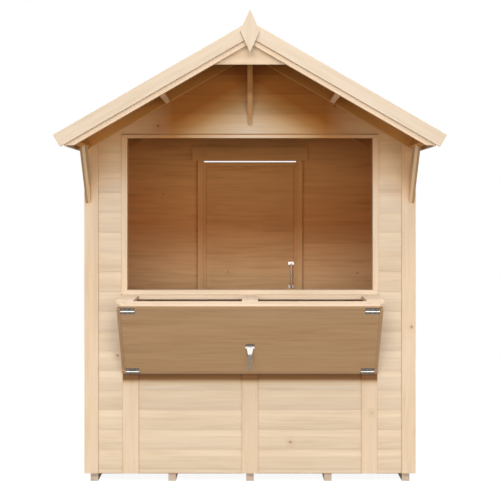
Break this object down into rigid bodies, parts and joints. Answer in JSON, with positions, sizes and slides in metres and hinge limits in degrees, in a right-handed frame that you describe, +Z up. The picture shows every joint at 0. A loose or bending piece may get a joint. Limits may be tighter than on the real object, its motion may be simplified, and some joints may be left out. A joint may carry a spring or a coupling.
{
  "type": "wooden market stall",
  "caption": "Boarded timber market stall with a serving opening, a fold-out counter, a gabled porch roof on knee braces and a hinged rear door.",
  "frame": {"origin": "on the ground under the middle of the body, on the centre bearer's lower face", "axes": "+Z up, front with the counter towards -Y, +X to the right seen from the front"},
  "size_m": [2.011, 1.7605, 2.529],
  "materials": {
    "cladding": "planed softwood shiplap, untreated",
    "trim_timber": "planed softwood, untreated",
    "frame_timber": "planed softwood framing, untreated",
    "deck_timber": "planed softwood boards, untreated",
    "roofing_felt": "mineral-faced roofing felt",
    "bright_steel": "bright zinc-plated steel"
  },
  "bodies": {
    "stall": {"front_wall_sides": "cladding", "front_wall_lower": "cladding", "front_gable": "cladding", "side_walls": "cladding", "back_wall_sides": "cladding", "back_gable": "cladding", "support_boards": "cladding", "counter_boards": "cladding", "corner_trims": "trim_timber", "front_battens": "trim_timber", "opening_jambs": "trim_timber", "opening_head": "trim_timber", "opening_sill": "trim_timber", "gable_batten": "trim_timber", "corner_braces": "trim_timber", "centre_brace": "trim_timber", "apex_plate": "trim_timber", "finial": "trim_timber", "bargeboards": "trim_timber", "eaves_fascias": "trim_timber", "front_posts": "frame_timber", "side_wall_studs": "frame_timber", "door_posts": "frame_timber", "door_stops": "frame_timber", "door_head": "frame_timber", "rafters": "frame_timber", "ridge_board": "frame_timber", "purlins": "frame_timber", "eaves_rails": "frame_timber", "counter_frame": "frame_timber", "hinge_rail": "frame_timber", "support_frame": "frame_timber", "foot_rail": "frame_timber", "floor_bearers": "frame_timber", "floor": "deck_timber", "roof_boards": "deck_timber", "roof_felt": "roofing_felt", "counter_hinges": "bright_steel", "hasp": "bright_steel", "door_hinge_plates": "bright_steel"},
    "door": {"door_boards": "cladding", "door_frame": "frame_timber", "door_handles": "bright_steel", "door_hinge_leaves": "bright_steel"}
  },
  "joints": [
    {"name": "door_hinge", "type": "hinge", "parent": "stall", "child": "door", "pos_m": [-0.32475, 0.61, 0.9], "axis": [0, 0, 1], "range_deg": [0, 110]}
  ]
}
